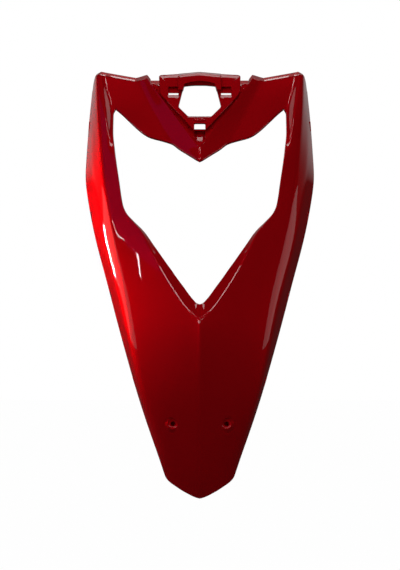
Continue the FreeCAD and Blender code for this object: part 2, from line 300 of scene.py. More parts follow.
class MeshData:
    """A growing mesh in millimetres whose seams close where points meet."""

    places_per_mm: int = 2000

    def __init__(self) -> None:
        """Start with no points and no faces."""
        self.points: list[tuple[float, float, float]] = []
        self.faces: Faces = []
        self.index: dict[tuple[int, ...], int] = {}

    def add(self, point: Sequence[float]) -> int:
        """Add a point, unless there is one at the same place.

        Args:
            point: Its x, y and z.

        Returns:
            The index of the point.
        """
        key = tuple(int(round(c * self.places_per_mm)) for c in point)
        if key not in self.index:
            self.index[key] = len(self.points)
            self.points.append(tuple(float(c) for c in point))
        return self.index[key]

    def face(self, corners: Sequence[int]) -> None:
        """Add a face, leaving out corners that fell together.

        Args:
            corners: Indices of its points in turn.
        """
        kept = [c for i, c in enumerate(corners) if c != corners[i - 1]]
        if len(kept) > 2 and len(set(kept)) == len(kept):
            self.faces.append(tuple(kept))

    def grid(self, points: np.ndarray, flip: bool, keep: Optional[np.ndarray] = None) -> None:
        """Add a grid of four-sided faces.

        Args:
            points: Array of rows, columns and x, y, z.
            flip: Whether the faces turn the other way.
            keep: Which faces to add, all of them by default.
        """
        rows, columns = points.shape[:2]
        ids = [[self.add(points[r, c]) for c in range(columns)] for r in range(rows)]
        for r in range(rows - 1):
            for c in range(columns - 1):
                if keep is not None and not keep[r, c]:
                    continue
                ring = [ids[r][c], ids[r][c + 1], ids[r + 1][c + 1], ids[r + 1][c]]
                self.face(ring[::-1] if flip else ring)

    def join_rings(self, rings: Sequence[np.ndarray], flip: bool) -> None:
        """Join closed rings of points by four-sided faces.

        Args:
            rings: Rings with the same number of points.
            flip: Whether the faces turn the other way.
        """
        ids = [[self.add(point) for point in ring] for ring in rings]
        for a, b in zip(ids, ids[1:]):
            for i in range(len(a)):
                j = (i + 1) % len(a)
                corners = [a[i], a[j], b[j], b[i]]
                self.face(corners[::-1] if flip else corners)

    def open_edges(self) -> list[tuple[int, int]]:
        """Find the edges that only one face uses.

        Returns:
            Pairs of points in that face's turning.
        """
        seen = set()
        for ring in self.faces:
            seen.update(zip(ring, ring[1:] + ring[:1]))
        return [edge for edge in seen if (edge[1], edge[0]) not in seen]

    def to_object(self, name: str, sharp: float) -> bpy.types.Object:
        """Make a smooth-shaded object.

        Args:
            name: Name of the object.
            sharp: Angle in degrees from which an edge stays sharp.

        Returns:
            The object, linked to the scene and in metres.
        """
        mesh = bpy.data.meshes.new(name)
        mesh.from_pydata([tuple(c * MM for c in p) for p in self.points], [], self.faces)
        mesh.validate()
        mesh.shade_smooth()
        mesh.set_sharp_from_angle(angle=math.radians(sharp))
        piece = bpy.data.objects.new(name, mesh)
        bpy.context.scene.collection.objects.link(piece)
        return piece


class RimKind(Enum):
    """What the shell does at a free edge."""

    PLAIN = "plain"
    LAMP = "lamp"
    BROW = "brow"
    TOP = "top"
    BAY = "bay"


@dataclass
class ShellSkin:
    """Both faces of the shell and the rims round its outlines, in millimetres.

    Edges have (x, z) knots on the right-hand side, the inner edge (z, x) knots. The lip has (height, inward,
    rise, depth) knots. The mouth of a dish is the x and z of its middle with its half width and half height,
    and each turn of a dish has (growth of the radius, depth) knots.
    """

    form: ShellForm
    tip: Knots = ((0, -120.3), (2, -120), (23, -110.2), (37.7, -101), (46, -95.5), (51.3, -90.6), (54, -86),
                  (55.8, -79), (57.7, -71.5), (60, -63), (64, -60.2))
    inner_edge: Knots = ((157, 0), (160.3, 4.9), (173.4, 19.5), (197, 37.5), (225.2, 55.6), (266.2, 78),
                         (292.4, 92), (305.6, 102.5), (322.2, 115.4), (335, 121), (373, 127.5),
                         (422, 135.2), (455, 139), (484, 139.3), (494, 134.5))
    brow_edge: Knots = ((0, 403.5), (16, 414.5), (29.9, 424), (42, 433.5), (55, 438.4), (76, 445),
                        (84, 449.2), (93.4, 456.5), (112.8, 475.4), (124, 486.5), (134.5, 494), (141, 494))
    top_edge: Knots = ((79.9, 540.5), (85, 540.5), (103, 536.3), (134, 542.6), (157.5, 547.5), (163, 548.6),
                       (167, 548.6), (170, 547.6), (172.5, 545), (174.5, 540.5), (176.5, 528))
    bay_foot: float = 421.6
    bay_foot_round: float = 3.0
    bay_slope: float = 0.705
    bay_lip_level: float = BAY_FLOOR + 0.6
    bay_lip_least: float = 1.0
    seam: float = 134.5
    seam_lean: float = 5.5
    apron_foot: float = -120.0
    apron_top: float = 150.0
    tip_top: float = -60.0
    arm_top: float = 494.0
    arm_rise: float = 50.0
    arm_corner: float = 165.0
    notch_reach: float = 23.0
    notch_crowding: float = 1.7
    rear_reach: float = 1.5
    rear_top: float = 527.0
    edge_slack: float = 0.5
    lip: Knots = ((157, 0, 20.5, 16), (160.3, 0.8, 18.3, 15.5), (173.4, 8.8, 10, 12), (197, 10.3, 7.5, 9.5),
                  (225.2, 9.4, 5.3, 7.5), (266.2, 5, 2.3, 7), (292.4, 1.9, 1.2, 8), (305.6, 0.6, 0.8, 8.5),
                  (322.2, 0, 0, 8.5), (600, 0, 0, 8.5))
    lip_round: Knots = ((160, 2.4), (285, 2.4), (320, 1.2))
    brow_round: float = 3.0
    brow_lip: tuple[float, float] = (7.5, -0.05)
    plain_round: float = 1.2
    strip_rise: float = 0.6
    strip_depth: float = 12.0
    strip_fade: Knots = ((160, 1), (174, 0.15))
    turn_stops: tuple[float, ...] = (0.15, 0.3, 0.7, 0.85, 1.0)
    facet_stops: tuple[float, ...] = (0.12, 0.88)
    lip_wall: float = 2.0
    lip_edge: float = 0.02
    seat_radius: float = 7.5
    hole_radius: float = 3.5
    mouth: tuple[float, float, float, float] = (43.3, -2.3, 9.75, 12.0)
    mouth_turn: Knots = ((0.6, 0.0), (0.15, 0.1), (0.0, 0.5))
    seat_turn: Knots = ((0.5, -1.0), (0.0, -0.3), (-0.7, 0.0))
    hole_turn: Knots = ((0.4, 0.0), (0.0, 0.4), (0.0, WALL))
    dish_middle: tuple[float, float] = (SCREW_HALF_PITCH + 2.0, -2.0)
    dish_reach: float = 12.0
    dish_clear: float = 16.0
    dish_patch: float = 24.0
    cup_margin: float = 2.0
    cup_depth: float = 1.15 * WALL
    ring_points: int = 48
    flank_steps: int = 10
    panel_steps: int = 40
    panel_ease: float = 0.6
    apron_rows: int = 78
    notch_rows: int = 19
    arm_rows: int = 118
    brow_rows: int = 35
    wing_steps: tuple[int, ...] = (36, 5, 8, 20)
    settling_rounds: int = 12
    sharp: float = 32.0

    def top(self, x: np.ndarray) -> np.ndarray:
        """Height of the front edge of the top strip over a place across."""
        return straight(self.top_edge, x)

    def upper_limit(self, x: np.ndarray) -> np.ndarray:
        """Height of the bay edge or of the top edge over a place across."""
        bay = self.bay_foot + (np.hypot(x, self.bay_foot_round) - self.bay_foot_round / 2) / self.bay_slope
        return np.minimum(bay, self.top(x))

    def columns(self, z: np.ndarray, inner: float) -> np.ndarray:
        """Places across from the rear edge to an inner limit.

        Args:
            z: Heights, one per column.
            inner: Inner limit.

        Returns:
            The x of each column at those heights.
        """
        rear, band, crease = (self.form.lines[line][0](z) for line in (Line.REAR, Line.BAND, Line.CREASE))
        flank, panel = np.linspace(0, 1, self.flank_steps + 1), np.linspace(0, 1, self.panel_steps + 1)
        eased = 0.5 - 0.5 * np.cos(np.pi * panel)
        spread = (1 - self.panel_ease) * panel + self.panel_ease * eased
        shares = np.concatenate([flank, 1 + flank[1:], 2 + spread[1:]])
        legs = [rear + (band - rear) * shares, band + (crease - band) * (shares - 1),
                crease + (inner - crease) * (shares - 2)]
        return np.where(shares <= 1, legs[0], np.where(shares <= 2, legs[1], legs[2]))

    def arm_grid(self) -> np.ndarray:
        """Front-view points of the right half of the apron and arm, by rows from the tip to the top.

        Returns:
            Array of rows, columns and (x, z).
        """
        inner_curve, tip = Eased(self.inner_edge), Eased(self.tip)
        count = 2 * self.flank_steps + self.panel_steps + 1
        notch = self.inner_edge[0][0]
        crowded = notch + self.notch_reach * np.linspace(0, 1, self.notch_rows) ** self.notch_crowding
        heights = np.concatenate([np.linspace(self.apron_foot, notch, self.apron_rows)[:-1], crowded[:-1],
                                  np.linspace(notch + self.notch_reach, self.arm_top, self.arm_rows)])
        rows = []
        for height in heights:
            inner = float(inner_curve(height)) if height > notch else 0.0
            z = np.full(count, height)
            x = self.columns(z, inner)
            if height < self.tip_top:
                share = (height - self.apron_foot) / (self.tip_top - self.apron_foot)
                for _ in range(self.settling_rounds):
                    z = tip(x) + (self.tip_top - tip(x)) * share
                    x = self.columns(z, inner)
            rows.append(np.stack([x, z], axis=-1))
        for share in np.linspace(0, 1, self.brow_rows)[1:]:
            z = np.full(count, self.arm_top + self.arm_rise * share)
            for _ in range(self.settling_rounds):
                x = self.columns(z, self.seam + self.seam_lean * share)
                z = self.arm_top + share * (self.top(x) - self.arm_top)
            rows.append(np.stack([x, z], axis=-1))
        return np.array(rows)

    def wing_grid(self) -> np.ndarray:
        """Front-view points of the right wing, by rows from its lower edge to the bay and top edges.

        Returns:
            Array of rows, columns and (x, z).
        """
        reach = self.seam + self.seam_lean
        stops = [0, *(knot[0] / reach for knot in self.top_edge[:3]), 1]
        spans = [np.linspace(a, b, n + 1)[:-1] for a, b, n in zip(stops, stops[1:], self.wing_steps)]
        across = np.concatenate(spans + [np.ones(1)])[::-1]
        rows = []
        for share in np.linspace(0, 1, self.brow_rows):
            x = across * (self.seam + self.seam_lean * share)
            low = Eased(self.brow_edge)(x)
            rows.append(np.stack([x, low + share * (self.upper_limit(x) - low)], axis=-1))
        return np.array(rows)

    def near_dish(self, x: np.ndarray, z: np.ndarray, reach: float) -> np.ndarray:
        """Whether places in the front view lie within a reach of a dish."""
        return np.hypot(np.abs(x) - self.dish_middle[0], z - self.dish_middle[1]) < reach

    def mouth_ring(self, side: int, grow: float, sink: float) -> np.ndarray:
        """A ring round the oval mouth of one dish.

        Args:
            side: 1 for the right, -1 for the left.
            grow: Width by which the ring is larger than the mouth.
            sink: How far the ring lies behind the outer face.

        Returns:
            Points of the ring.
        """
        angle = around(self.ring_points)
        x = self.mouth[0] + (self.mouth[2] + grow) * np.cos(angle)
        z = self.mouth[1] + (self.mouth[3] + grow) * np.sin(angle)
        return np.stack([side * x, self.form.depth(x, z) + sink, z], axis=-1)

    def seat_ring(self, side: int, radius: float, y: float) -> np.ndarray:
        """A ring round the screw hole of one dish.

        Args:
            side: 1 for the right, -1 for the left.
            radius: Radius of the ring.
            y: Depth of the ring.

        Returns:
            Points of the ring.
        """
        angle = around(self.ring_points)
        x = side * (SCREW_HALF_PITCH + radius * np.cos(angle))
        return np.stack([x, np.full_like(x, y), radius * np.sin(angle)], axis=-1)

    def dish_rings(self, side: int) -> list[np.ndarray]:
        """Rings of one dish from the outer face to the back of its hole.

        Args:
            side: 1 for the right, -1 for the left.

        Returns:
            Rings of points, the first on the outer face.
        """
        rings = [self.mouth_ring(side, grow, sink) for grow, sink in self.mouth_turn]
        rings += [self.seat_ring(side, self.seat_radius + grow, y) for grow, y in self.seat_turn]
        return rings + [self.seat_ring(side, self.hole_radius + grow, y) for grow, y in self.hole_turn]

    def cup_rings(self, side: int) -> list[np.ndarray]:
        """Rings of the back of one dish from the inner face to its hole.

        Args:
            side: 1 for the right, -1 for the left.

        Returns:
            Rings of points, the first on the inner face.
        """
        rings = [self.mouth_ring(side, self.cup_margin, self.cup_depth)]
        radii = (self.seat_radius + self.cup_margin, self.hole_radius)
        return rings + [self.seat_ring(side, radius, WALL) for radius in radii]

    def fill_round(self, data: MeshData, ring: np.ndarray, side: int, inner: bool) -> None:
        """Close the gap between the faces left round a dish and the dish's first ring.

        Args:
            data: Mesh to add to.
            ring: First ring of the dish.
            side: 1 for the right, -1 for the left.
            inner: Whether this is the inner face of the shell.
        """
        spots = {i: data.points[i][::2] for e in data.open_edges() for i in e}
        patch = {i for i, spot in spots.items()
                 if side * spot[0] > 0 and self.near_dish(*spot, self.dish_patch)}
        edges = [e for e in data.open_edges()
                 if patch.issuperset(e) and not self.near_dish(*spots[e[0]], self.dish_reach)]
        used = sorted({i for e in edges for i in e})
        place = {i: n for n, i in enumerate(used)}
        flat = [Vector(spots[i]) for i in used]
        links = [(place[a], place[b]) for a, b in edges]
        outer = np.array([flat[n] for n in chain_order(links)])
        hole = ring[:, ::2]
        links += loop_links(len(flat), len(ring))
        flat += [Vector(spot) for spot in hole]
        found, _, triangles, *_ = delaunay_2d_cdt(flat, links, [], 1, SAME_PLACE)
        ids = used + [data.add(point) for point in ring]
        for triangle in triangles:
            middle = sum((found[i] for i in triangle), Vector((0, 0))) / 3
            if max(triangle) < len(ids) and not inside(hole, middle) and inside(outer, middle):
                a, b, c = (found[i] for i in triangle)
                turns_left = (b - a).cross(c - a) > 0
                data.face([ids[i] for i in (triangle if turns_left != inner else triangle[::-1])])

    def rim_kind(self, x: float, z: float) -> RimKind:
        """What the shell does at a free edge.

        Args:
            x: Place across.
            z: Height.

        Returns:
            The kind of rim there.
        """
        x, slack = abs(x), self.edge_slack
        rear = float(self.form.lines[Line.REAR][0](z))
        if z < self.apron_top or x > rear - self.rear_reach and z < self.rear_top:
            return RimKind.PLAIN
        brow = float(Eased(self.brow_edge)(x))
        over_brow = z > self.arm_top + slack or x < self.seam - slack and z > brow + slack
        if over_brow and (z > float(self.upper_limit(x)) - slack or x > self.arm_corner):
            return RimKind.TOP if x > self.top_edge[0][0] - slack else RimKind.BAY
        return RimKind.BROW if x < self.seam - slack and abs(z - brow) < slack else RimKind.LAMP

    def rim_round(self, x: float, z: float) -> float:
        """Radius at which a free edge turns back.

        Args:
            x: Place across.
            z: Height.

        Returns:
            The radius there.
        """
        kind = self.rim_kind(x, z)
        if kind is RimKind.LAMP:
            return float(straight(self.lip_round, z))
        return self.brow_round if kind is RimKind.BROW else self.plain_round

    def rim_course(self, point: np.ndarray, normal: np.ndarray) -> tuple[np.ndarray, float]:
        """How the rim runs back from a free edge.

        Args:
            point: Place on the free edge.
            normal: Normal of the outer face there.

        Returns:
            The direction of the rim and its length along that direction.
        """
        x, y, z = point
        kind = self.rim_kind(x, z)
        if kind is RimKind.LAMP:
            inward, rise, deep = (float(straight([(k[0], k[n]) for k in self.lip], z)) for n in (1, 2, 3))
            return np.array([-np.sign(x) * inward / deep, 1, rise / deep]), deep
        if kind is RimKind.BROW:
            deep, rise = self.brow_lip
            return np.array([0, 1, rise]), deep
        if kind is RimKind.TOP:
            fade = float(straight(self.strip_fade, abs(x)))
            return np.array([0, 1, self.strip_rise * fade]), self.strip_depth * fade
        if kind is RimKind.BAY:
            return np.array([0, 1, 0]), max(bay_depth(self.bay_lip_level, z) - y, self.bay_lip_least)
        return -normal, WALL - self.plain_round

    def add_rims(self, data: MeshData, edges: list[tuple[int, int]], backs: dict[int, int]) -> None:
        """Round every free edge and carry it back as a lip to the inner face.

        Args:
            data: Mesh with both faces.
            edges: Free edges of the outer face.
            backs: Point of the inner face behind each point of the outer face.
        """
        after = dict(edges)
        before = {b: a for a, b in edges}
        rows = {}
        for i in after:
            point = np.array(data.points[i])
            along = np.array(data.points[after[i]]) - np.array(data.points[before[i]])
            normal = self.form.normal(np.array(point[0]), np.array(point[2]))
            outwards = np.cross(along, normal)
            outwards /= np.linalg.norm(outwards)
            course, length = self.rim_course(point, normal)
            radius = self.rim_round(point[0], point[2])
            corner = point + outwards * radius
            start = corner + course / np.linalg.norm(course) * radius
            turn = corner_arc(point, corner, start, self.turn_stops)
            facet = [turn[1] * (1 - u) + turn[2] * u for u in self.facet_stops]
            end = start + course * length
            back = start + course * (length + self.lip_edge) - outwards * self.lip_wall
            lip = [start + course * length * 0.5, end, back]
            rows[i] = [i] + [data.add(spot) for spot in turn[:2] + facet + turn[2:] + lip] + [backs[i]]
        for a, b in edges:
            for k in range(len(rows[a]) - 1):
                data.face([rows[b][k], rows[a][k], rows[a][k + 1], rows[b][k + 1]])

    def add_face(self, data: MeshData, grids: Sequence[np.ndarray], inner: bool) -> None:
        """Add one face of the shell with its two dishes.

        Args:
            data: Mesh to add to.
            grids: Front-view points of the right-hand patches.
            inner: Whether this is the inner face of the shell.
        """
        for grid in grids:
            middle = (grid[:-1, :-1] + grid[1:, 1:]) / 2
            clear = ~self.near_dish(middle[..., 0], middle[..., 1], self.dish_clear)
            x, z = grid[..., 0], grid[..., 1]
            for side in SIDES:
                points = np.stack([side * x, self.form.depth(x, z), z], axis=-1)
                if inner:
                    points = points - self.form.normal(side * x, z) * WALL
                data.grid(points, (side > 0) != inner, clear)
        for side in SIDES:
            rings = self.cup_rings(side) if inner else self.dish_rings(side)
            self.fill_round(data, rings[0], side, inner)
            data.join_rings(rings, (side < 0) != inner)

    def mesh(self) -> MeshData:
        """Lay the whole shell without the pieces of its bay.

        Returns:
            Both faces with their dishes, and the rims.
        """
        data = MeshData()
        grids = (self.arm_grid(), self.wing_grid())
        self.add_face(data, grids, False)
        edges = [e for e in data.open_edges() if not self.near_dish(*data.points[e[0]][::2], self.dish_reach)]
        spots = np.array(data.points)
        behind = spots - self.form.normal(spots[:, 0], spots[:, 2]) * WALL
        self.add_face(data, grids, True)
        backs = {i: data.add(behind[i]) for i in {i for e in edges for i in e}}
        LOG.info("skin has %d outer points and %d free edges", len(spots), len(edges))
        self.add_rims(data, edges, backs)
        return data

    def build(self, material: bpy.types.Material) -> bpy.types.Object:
        """Build the shell.

        Args:
            material: Finish of the shell.

        Returns:
            The shell as one dressed piece.
        """
        shell = self.mesh().to_object("fairing_shell", self.sharp)
        shell.data.materials.append(material)
        return shell


def chain_order(links: Sequence[tuple[int, int]]) -> list[int]:
    """Follow a closed chain of links.

    Args:
        links: Pairs of points, each pair from one point to the next.

    Returns:
        The points in order.
    """
    after = dict(links)
    start = links[0][0]
    order, here = [start], after[start]
    while here != start and len(order) <= len(links):
        order.append(here)
        here = after[here]
    return order


def loop_links(first: int, count: int) -> list[tuple[int, int]]:
    """Links round a closed loop of points that are numbered in a row."""
    return [(first + i, first + (i + 1) % count) for i in range(count)]


def inside(polygon: np.ndarray, point: Vector) -> bool:
    """Whether a point of the front view lies inside a polygon.

    Args:
        polygon: Corners in turn.
        point: The point.

    Returns:
        True where it lies inside.
    """
    x, z = polygon[:, 0], polygon[:, 1]
    x2, z2 = np.roll(x, -1), np.roll(z, -1)
    crossing = (z > point.y) != (z2 > point.y)
    rise = np.where(z2 == z, SAME_PLACE, z2 - z)
    return bool(np.sum(crossing & (point.x < (x2 - x) * (point.y - z) / rise + x)) % 2)


def rounded(corners: Knots) -> np.ndarray:
    """A closed outline with rounded corners.

    Args:
        corners: (x, z, setback) in the front view, turning left.

    Returns:
        Points of the outline.
    """
    points = []
    for i, (x, z, setback) in enumerate(corners):
        here = np.array((x, z), float)
        if setback < LEAST_SETBACK:
            points.append(here)
            continue
        ends = []
        for other in (corners[i - 1], corners[(i + 1) % len(corners)]):
            step = np.array(other[:2], float) - here
            ends.append(here + step / np.linalg.norm(step) * setback)
        points += corner_arc(ends[0], here, ends[1], np.linspace(0, 1, CORNER_STEPS))
    return np.array(points)


def both_sides(half: Knots, grow: float = 0.0) -> np.ndarray:
    """A symmetric outline with rounded corners.

    Args:
        half: (x, z, setback) of its right half, from the bottom upwards.
        grow: Width by which the outline moves outwards.

    Returns:
        Points of the outline.
    """
    corners = [*half, *((-x, z, s) for x, z, s in reversed(half) if x > 0)]
    moved = grown(np.array([c[:2] for c in corners], float), grow)
    return rounded([(x, z, c[2]) for (x, z), c in zip(moved, corners)])


def rectangle(x0: float, x1: float, z0: float, z1: float, corner: float) -> np.ndarray:
    """A rectangle with rounded corners."""
    return rounded([(x0, z0, corner), (x1, z0, corner), (x1, z1, corner), (x0, z1, corner)])


def disc(x: float, z: float, radius: float, count: int = 32) -> np.ndarray:
    """A round outline."""
    angle = around(count)
    return np.stack([x + radius * np.cos(angle), z + radius * np.sin(angle)], axis=-1)


def grown(loop: np.ndarray, by: float, sharpest: float = 0.8) -> np.ndarray:
    """Move an outline outwards.

    Args:
        loop: Points of the outline, turning left.
        by: Width of the move.
        sharpest: Measure of the sharpest corner that moves by its full mitre.

    Returns:
        Points of the moved outline.
    """
    ahead = np.roll(loop, -1, axis=0) - loop
    ahead = ahead / np.linalg.norm(ahead, axis=1, keepdims=True)
    behind = np.roll(ahead, 1, axis=0)
    out = np.stack([ahead[:, 1] + behind[:, 1], -ahead[:, 0] - behind[:, 0]], axis=-1)
    size = np.sum(out * out, axis=1, keepdims=True)
    return loop + out * 2 * by / np.maximum(size, sharpest)


@dataclass
class Plate:
    """A plate seen from the front, with a rounded front rim, in millimetres."""

    outline: np.ndarray
    level: float
    back: float
    holes: Sequence[np.ndarray] = ()
    lean: float = BAY_LEAN
    foot: float = BAY_FOOT
    bevel: float = 0.7
    bevel_steps: int = 3
    climb_from: float = math.inf
    climb: float = 0.6

    def place(self, loop: np.ndarray, sink: float, climb: float = 0.0) -> np.ndarray:
        """Set a loop at a depth behind the plate's front.

        Args:
            loop: Points of the front view.
            sink: Depth behind the front.
            climb: How far the loop's upper points climb.

        Returns:
            Points in space.
        """
        z = loop[:, 1] + np.where(loop[:, 1] > self.climb_from, climb, 0)
        y = self.level + self.lean * (loop[:, 1] - self.foot) + sink
        return np.stack([loop[:, 0], y, z], axis=-1)

    def wall(self, data: MeshData, loop: np.ndarray, inward: float) -> tuple[list[int], list[int]]:
        """Add the rounded rim and the wall of one loop.

        Args:
            data: Mesh to add to.
            loop: The outline or a hole.
            inward: -1 for the outline, 1 for a hole.

        Returns:
            The first and the last row of points.
        """
        rows = []
        for turn in np.linspace(0, math.pi / 2, self.bevel_steps + 1):
            edge = grown(loop, inward * self.bevel * (1 - math.sin(turn)))
            rows.append(self.place(edge, self.bevel * (1 - math.cos(turn))))
        rows.append(self.place(loop, self.back, self.climb * (self.back - self.bevel)))
        ids = [[data.add(p) for p in row] for row in rows]
        for front, rear in zip(ids, ids[1:]):
            for i in range(len(loop)):
                j = (i + 1) % len(loop)
                ring = [front[i], rear[i], rear[j], front[j]]
                data.face(ring if inward < 0 else ring[::-1])
        return ids[0], ids[-1]

    def add_to(self, data: MeshData) -> None:
        """Add the plate to a mesh.

        Args:
            data: Mesh to add to.
        """
        fronts, backs, flat, links = [], [], [], []
        for loop, inward in [(self.outline, -1.0)] + [(hole, 1.0) for hole in self.holes]:
            front, back = self.wall(data, loop, inward)
            links += loop_links(len(flat), len(loop))
            flat += [Vector(point) for point in loop]
            fronts += front
            backs += back
        spots, _, triangles, *_ = delaunay_2d_cdt(flat, links, [], 1, SAME_PLACE)
        for triangle in triangles:
            middle = sum((spots[i] for i in triangle), Vector((0, 0))) / 3
            if any(inside(hole, middle) for hole in self.holes):
                continue
            a, b, c = (spots[i] for i in triangle)
            ring = list(triangle) if (b - a).cross(c - a) > 0 else list(triangle)[::-1]
            data.face([fronts[i] for i in ring])
            data.face([backs[i] for i in ring[::-1]])


@dataclass
class Bay:
    """The V-shaped bay over the brow with its grooved island, hood, hexagon and clip window, in millimetres.

    Outlines have (x, z, setback) corners, only those of the right half where the name says so. A climb is the
    height from which the back of a plate climbs, with its slope where there are two numbers.
    """

    floor_level: float = BAY_FLOOR
    island_level: float = 41.0
    hood_level: float = 32.0
    floor_half: Knots = ((0, 420.0, 4), (79.4, 532.5, 0.6))
    floor_climb: float = 530.0
    rail: Knots = ((64, 523, 0.5), (72.6, 523, 0.5), (79.4, 532.5, 0.5), (64, 532.5, 0.5))
    rail_sink: float = 0.2
    rail_deep: float = 12.0
    island_half: Knots = ((0, 463.0, 0), (18.6, 463.0, 0.5), (52.6, 501.3, 8), (63.8, 515.5, 6),
                          (65.4, 546.1, 4), (36, 548.1, 0.4), (0, 548.3, 0))
    island_deep: float = 10.5
    island_bevel: float = 1.0
    island_climb: tuple[float, float] = (535.0, 0.2)
    post: Knots = ((8.6, 452.0, 0.3), (9.2, 452.6, 0.3), (19.0, 463.3, 0.3), (8.6, 463.3, 0.3))
    post_deep: float = 9.0
    post_bevel: float = 0.3
    hexagon_half: Knots = ((0, 475, 0), (18.2, 475, 2), (33.6, 491.3, 3), (25.4, 527.3, 3), (10, 529, 4),
                           (0, 529, 0))
    hexagon_deep: float = 9.8
    hood_half: Knots = ((0, 534.5, 0), (12, 533.5, 4), (23.8, 530, 2), (26.6, 519, 0.5), (34, 519, 0.6),
                        (34, 544.8, 1.2), (0, 548.2, 6))
    hood_deep: float = 18.0
    hood_bevel: float = 1.2
    hood_climb: tuple[float, float] = (538.0, 0.3)
    scoop_half: Knots = ((0, 434.5, 0), (8.4, 434.5, 8), (8.4, 451.5, 0.5), (0, 451.5, 0))
    scoop_deep: float = 9.0
    clip_half: Knots = ((0, 434.5, 0), (8.6, 434.5, 8), (8.6, 463.0, 2))
    ramp_middle: float = 443.0
    ramp_half: float = 8.4
    ramp_rise: float = 6.4
    ramp_deep: float = 4.75
    ramp_sink: float = 0.3
    ramp_steps: tuple[int, int] = (5, 33)
    slot_in: float = 33.8
    slot_out: float = 49.7
    slot_foot: float = 511.6
    slot_top: float = 515.6
    slot_corner: float = 0.6
    pocket_top: float = 525.8
    pocket_deep: float = 5.0
    pocket_wall: float = 1.2
    bump_height: float = 469.0
    bump_half: float = 11.0
    bump_deep: float = 3.2
    bump_tall: float = 4.2
    bump_steps: tuple[int, int] = (17, 33)
    sole_lap: float = 1.0
    sole_bevel: float = 0.4
    wall_sink: float = 1.0
    wall_past_sole: float = 1.8
    wall_bevel: float = 0.1
    wall_fit: float = 0.05
    clearance: float = 1.5
    ribs: Knots = ((70, 522), (56.5, 503), (40, 481), (19, 457))
    rib_width: float = 3.4
    rib_height: float = 2.6
    rib_lift: float = 0.4
    sharp: float = 13.0

    def pocket_rim(self, side: int) -> np.ndarray:
        """Outline of the pocket behind one slot."""
        x0, x1 = sorted((side * self.slot_in, side * self.slot_out))
        return rectangle(x0, x1, self.slot_foot, self.pocket_top, self.slot_corner)

    def pocket_plates(self, side: int) -> list[Plate]:
        """The walls and the floor of one slot pocket.

        Args:
            side: 1 for the right, -1 for the left.

        Returns:
            The two plates.
        """
        x0, x1 = sorted((side * self.slot_in, side * self.slot_out))
        rim, lap = self.pocket_rim(side), self.sole_lap
        sole = rectangle(x0 - lap, x1 + lap, self.slot_top, self.pocket_top + lap, self.sole_bevel)
        return [Plate(grown(rim, self.pocket_wall), self.island_level + self.wall_sink,
                      self.pocket_deep + self.wall_past_sole, [rim], bevel=self.wall_bevel),
                Plate(sole, self.island_level + self.pocket_deep, WALL, bevel=self.sole_bevel)]

    def island_plates(self, hexagon: np.ndarray, pockets: list[np.ndarray]) -> list[Plate]:
        """The island's face, its side wall and the wall of its hexagon.

        Args:
            hexagon: Outline of the hexagon.
            pockets: Outlines of the slot pockets.

        Returns:
            The three plates.
        """
        climb_from, climb = self.island_climb
        side_wall, side_void = (both_sides(self.island_half, -inset) for inset in (self.wall_fit, WALL))
        start = self.island_level + self.wall_sink
        return [Plate(both_sides(self.island_half), self.island_level, WALL, [hexagon] + pockets,
                      bevel=self.island_bevel, climb_from=climb_from, climb=climb),
                Plate(side_wall, start, self.island_deep, [side_void],
                      bevel=self.wall_bevel, climb_from=climb_from, climb=climb),
                Plate(grown(hexagon, WALL), start, self.hexagon_deep, [grown(hexagon, self.wall_fit)],
                      bevel=self.wall_bevel)]

    def plates(self) -> list[Plate]:
        """Lay out all plates of the bay.

        Returns:
            The plates of the floor, island, hood, scoop, rails, posts and pockets.
        """
        hexagon, scoop = both_sides(self.hexagon_half), both_sides(self.scoop_half)
        pockets = [self.pocket_rim(side) for side in SIDES]
        cleared = [grown(hexagon, self.clearance), both_sides(self.clip_half)]
        cleared += [grown(pocket, self.clearance) for pocket in pockets]
        hood_from, hood_climb = self.hood_climb
        found = [Plate(both_sides(self.floor_half), self.floor_level, WALL, cleared,
                       climb_from=self.floor_climb),
                 *self.island_plates(hexagon, pockets),
                 Plate(both_sides(self.hood_half), self.hood_level, self.hood_deep, bevel=self.hood_bevel,
                       climb_from=hood_from, climb=hood_climb),
                 Plate(grown(scoop, WALL), self.floor_level + self.wall_sink,
                       self.scoop_deep + self.wall_past_sole, [scoop], bevel=self.wall_bevel),
                 Plate(grown(scoop, self.sole_lap), self.floor_level + self.scoop_deep, WALL,
                       bevel=self.sole_bevel)]
        for side in SIDES:
            for corners, level, deep in ((self.rail, self.floor_level + self.rail_sink, self.rail_deep),
                                         (self.post, self.island_level, self.post_deep)):
                outline = rounded([(side * x, z, s) for x, z, s in corners[::side]])
                found.append(Plate(outline, level, deep, bevel=self.post_bevel, climb_from=self.floor_climb))
            found += self.pocket_plates(side)
        return found

    def add_ramp(self, data: MeshData) -> None:
        """Add the crescent ramp that rises from the round foot of the scoop.

        Args:
            data: Mesh to add to.
        """
        rows, columns = self.ramp_steps
        turn = np.linspace(-math.pi / 2, math.pi / 2, columns)
        x, swell = self.ramp_half * np.sin(turn), np.cos(turn)
        z = self.ramp_middle - (self.ramp_middle - self.scoop_half[0][1]) * swell
        y = bay_depth(self.floor_level + self.ramp_sink, z)
        deep, rise = self.ramp_deep * swell, self.ramp_rise * swell
        data.grid(np.array([np.stack([x, y + deep * share, z + rise * share], axis=-1)
                            for share in np.linspace(0, 1, rows)]), False)

